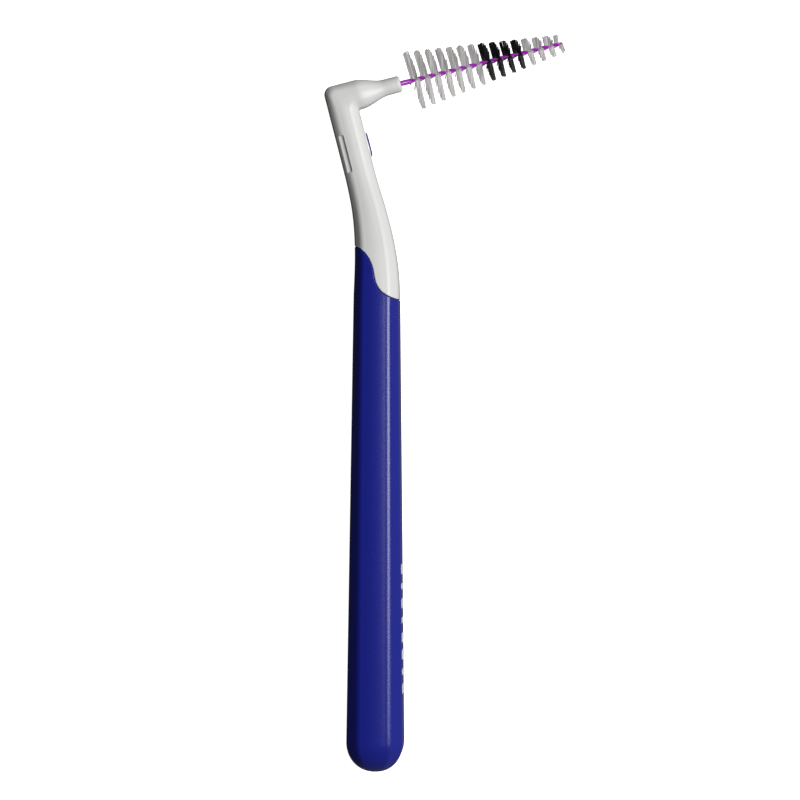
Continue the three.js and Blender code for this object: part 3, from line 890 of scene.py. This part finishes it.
def plastic(name, colour, roughness, tint=0.06, grain=0.03, grain_size=0.35, metallic=0.0, shade_streaks=1):
    """Moulded plastic or bright metal: a colour that drifts over the piece, and a fine grain in the surface.

    The last argument makes the colour change that many times faster along the wire, which paints lines of
    shade along the filaments, standing in for the shade that falls between them.
    """
    material = bpy.data.materials.new(name)
    material.use_nodes = True
    nodes, links = material.node_tree.nodes, material.node_tree.links
    shader = nodes["Principled BSDF"]
    shader.inputs["Metallic"].default_value = metallic
    place = nodes.new("ShaderNodeTexCoord")
    drift = noise(nodes, links, place, COLOUR_PATCH, 3, shade_streaks)
    fine = noise(nodes, links, place, grain_size, 4)
    colours = nodes.new("ShaderNodeMixRGB")
    colours.inputs[1].default_value = (*(c * (1 - tint) for c in colour), 1)
    colours.inputs[2].default_value = (*(min(c * (1 + tint), 1) for c in colour), 1)
    links.new(drift, colours.inputs[0])
    links.new(colours.outputs[0], shader.inputs["Base Color"])
    rough = nodes.new("ShaderNodeMapRange")
    rough.inputs["To Min"].default_value = roughness * ROUGHNESS_RANGE[0]
    rough.inputs["To Max"].default_value = roughness * ROUGHNESS_RANGE[1]
    links.new(fine, rough.inputs["Value"])
    links.new(rough.outputs["Result"], shader.inputs["Roughness"])
    bump = nodes.new("ShaderNodeBump")
    bump.inputs["Strength"].default_value = grain
    bump.inputs["Distance"].default_value = GRAIN_DEPTH
    links.new(fine, bump.inputs["Height"])
    links.new(bump.outputs[0], shader.inputs["Normal"])
    return material


def noise(nodes, links, place, size, detail, shade_streaks=1):
    """A noise whose features are about size millimetres across, and as many times finer along the wire as the
    last argument says; on the filaments this draws lines of painted shade.
    """
    mapping = nodes.new("ShaderNodeMapping")
    mapping.inputs["Rotation"].default_value = (0, 0, -BEND_ANGLE)
    mapping.inputs["Scale"].default_value = (shade_streaks, 1, 1)
    links.new(place.outputs["Object"], mapping.inputs["Vector"])
    texture = nodes.new("ShaderNodeTexNoise")
    texture.inputs["Scale"].default_value = 1 / (size * MM)
    texture.inputs["Detail"].default_value = detail
    links.new(mapping.outputs["Vector"], texture.inputs["Vector"])
    return texture.outputs["Fac"]


materials = {
    "grip": plastic("grip_blue", (0.0075, 0.0135, 0.25), 0.27, tint=0.03, grain=0.01, grain_size=0.6),
    "neck": plastic("neck_white", (0.73, 0.73, 0.715), 0.42, tint=0.02),
    "badge": plastic("badge_blue", (0.02, 0.03, 0.25), 0.3),
    "rim": plastic("badge_cream", (0.86, 0.86, 0.78), 0.4, tint=0.02),
    "ink": plastic("ink_white", (0.88, 0.88, 0.86), 0.5, tint=0.02, grain_size=0.15),
    "coating": plastic("coating_purple", (0.42, 0.03, 0.52), 0.3, grain_size=0.12),
    "steel": plastic("steel_bright", (0.62, 0.62, 0.63), 0.3, metallic=1.0, grain_size=0.1),
    # The white nylon's streaked, widely varying colour is painted shade: dark lines where shade falls between
    # the filaments.
    "white": plastic("nylon_white", (0.52, 0.51, 0.505), 0.42, tint=0.75, shade_streaks=30, grain_size=0.15),
    "black": plastic("nylon_black", (0.006, 0.006, 0.006), 0.42, grain_size=0.15),
}


def finish_piece(piece, material, slot, *nodes):
    """Gives a piece its material, and hides the CAD nodes that it stands for. The slot argument is not used.
    """
    piece.data.materials.clear()
    piece.data.materials.append(materials[material])
    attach(piece, "root")
    if nodes:
        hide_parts(*nodes)


finish_piece(grip_piece(), "grip", "grip_plastic", "grip_overmould")
finish_piece(neck_piece(), "neck", "neck_plastic", "neck_core")

rim, face = badge_pieces()
finish_piece(rim, "rim", "neck_plastic")
finish_piece(face, "badge", "badge_plastic", "size_badge")

coating, steel_core = wire_pieces()
finish_piece(coating, "coating", "wire_coating", "wire_coating")
finish_piece(steel_core, "steel", "steel_wire", "wire_steel_core")

chance = random.Random(SEED)
for row in range(ROWS):
    colour = "black" if row + 1 in BLACK_ROWS else "white"
    finish_piece(filament_row(row, chance), colour, f"filament_{colour}", f"filament_row_{row + 1:02d}")

for number, kind in enumerate(MARKS):
    finish_piece(mark_piece(number, kind), "ink", "neck_plastic")
